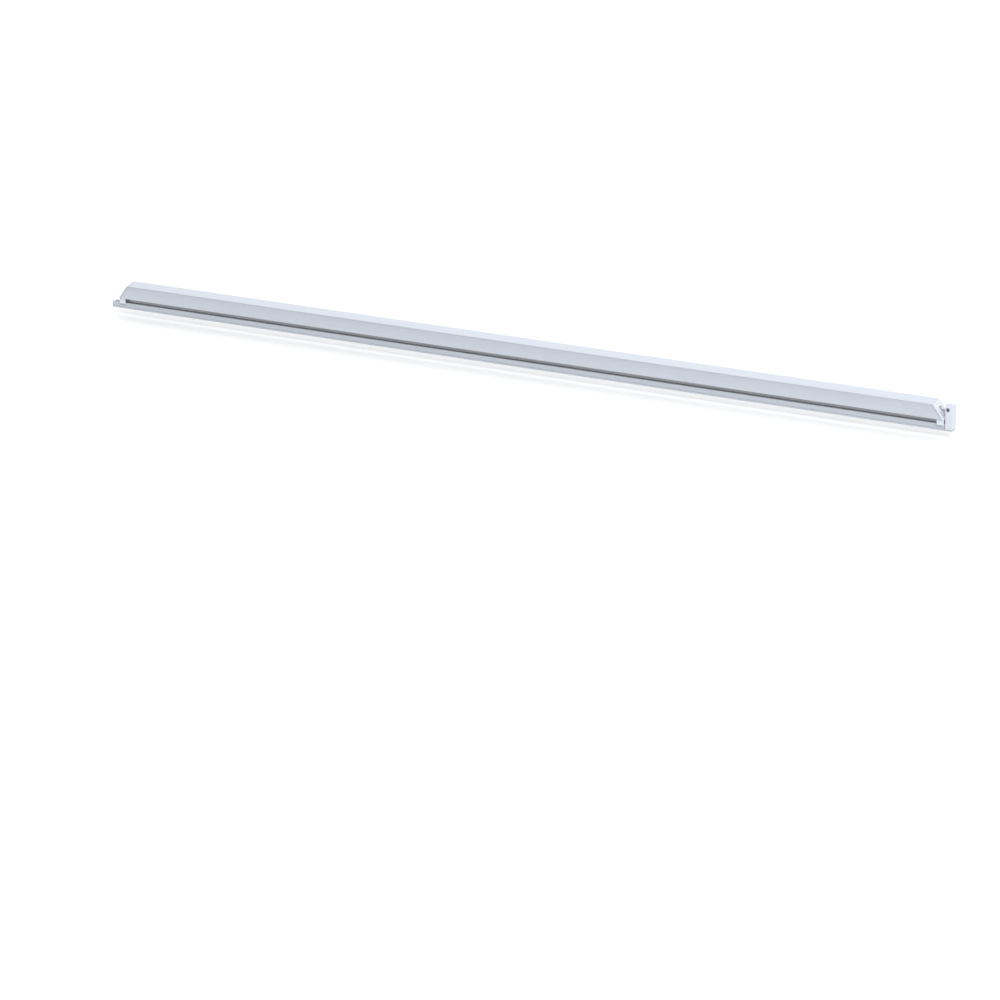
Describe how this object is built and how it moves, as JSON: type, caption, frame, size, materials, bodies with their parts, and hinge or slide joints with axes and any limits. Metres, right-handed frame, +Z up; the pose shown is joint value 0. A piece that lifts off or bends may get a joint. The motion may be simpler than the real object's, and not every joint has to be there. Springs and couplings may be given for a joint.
{
  "type": "automatic door bottom seal",
  "caption": "Surface-mounted drop-down door sweep: aluminium hood with hipped ends over a spring-lowered seal bar, released by a cap at one end.",
  "frame": {"origin": "centre of the mounting rail's back face, which lies on the door", "axes": "+X along the length towards the release cap, +Y into the door, +Z up"},
  "size_m": [0.927, 0.015, 0.0273],
  "materials": {
    "anodised_aluminium": "satin silver anodised",
    "mill_aluminium": "mill finish, unpolished",
    "cap_plastic": "silver-grey moulded plastic",
    "release_nylon": "light grey moulded nylon",
    "inner_nylon": "natural grey nylon",
    "seal_rubber": "matt light grey soft seal",
    "steel": "zinc plated",
    "spring_steel": "blued spring steel",
    "black_steel": "dark oxide"
  },
  "bodies": {
    "root": {"mounting_rail": "anodised_aluminium", "hood": "anodised_aluminium", "hood_end_cap_right": "cap_plastic", "hood_end_cap_left": "cap_plastic", "rod_guide_left": "inner_nylon", "rod_guide_right": "inner_nylon", "spring_anchor_1": "steel", "spring_anchor_2": "steel", "spring_anchor_3": "steel", "anchor_rivet_1": "steel", "anchor_rivet_2": "steel", "anchor_rivet_3": "steel", "leaf_spring_1": "spring_steel", "leaf_spring_2": "spring_steel", "leaf_spring_3": "spring_steel"},
    "release": {"push_rod": "steel", "actuator_cap": "release_nylon", "actuator_screw": "black_steel", "spring_slider_1": "inner_nylon", "spring_slider_2": "inner_nylon", "spring_slider_3": "inner_nylon", "slider_rivet_1": "steel", "slider_rivet_2": "steel", "slider_rivet_3": "steel"},
    "seal_bar": {"drop_bar": "mill_aluminium", "door_seal": "seal_rubber", "bar_end_plug_right": "inner_nylon", "bar_end_plug_left": "inner_nylon", "spring_saddle_1": "inner_nylon", "spring_saddle_2": "inner_nylon", "spring_saddle_3": "inner_nylon", "saddle_rivet_1": "steel", "saddle_rivet_2": "steel", "saddle_rivet_3": "steel"}
  },
  "joints": [
    {"name": "actuator_press", "type": "slide", "parent": "root", "child": "release", "axis": [-1, 0, 0], "range_m": [0, 0.004], "stiffness_N_per_m": 4000, "springref_m": -0.0025},
    {"name": "seal_drop", "type": "slide", "parent": "root", "child": "seal_bar", "axis": [0, 0, -1], "range_m": [0, 0.008], "deforming": ["leaf_spring_1", "leaf_spring_2", "leaf_spring_3"]}
  ],
  "couplings": [
    {"joint": "seal_drop", "follows": "actuator_press", "ratio": 2}
  ]
}
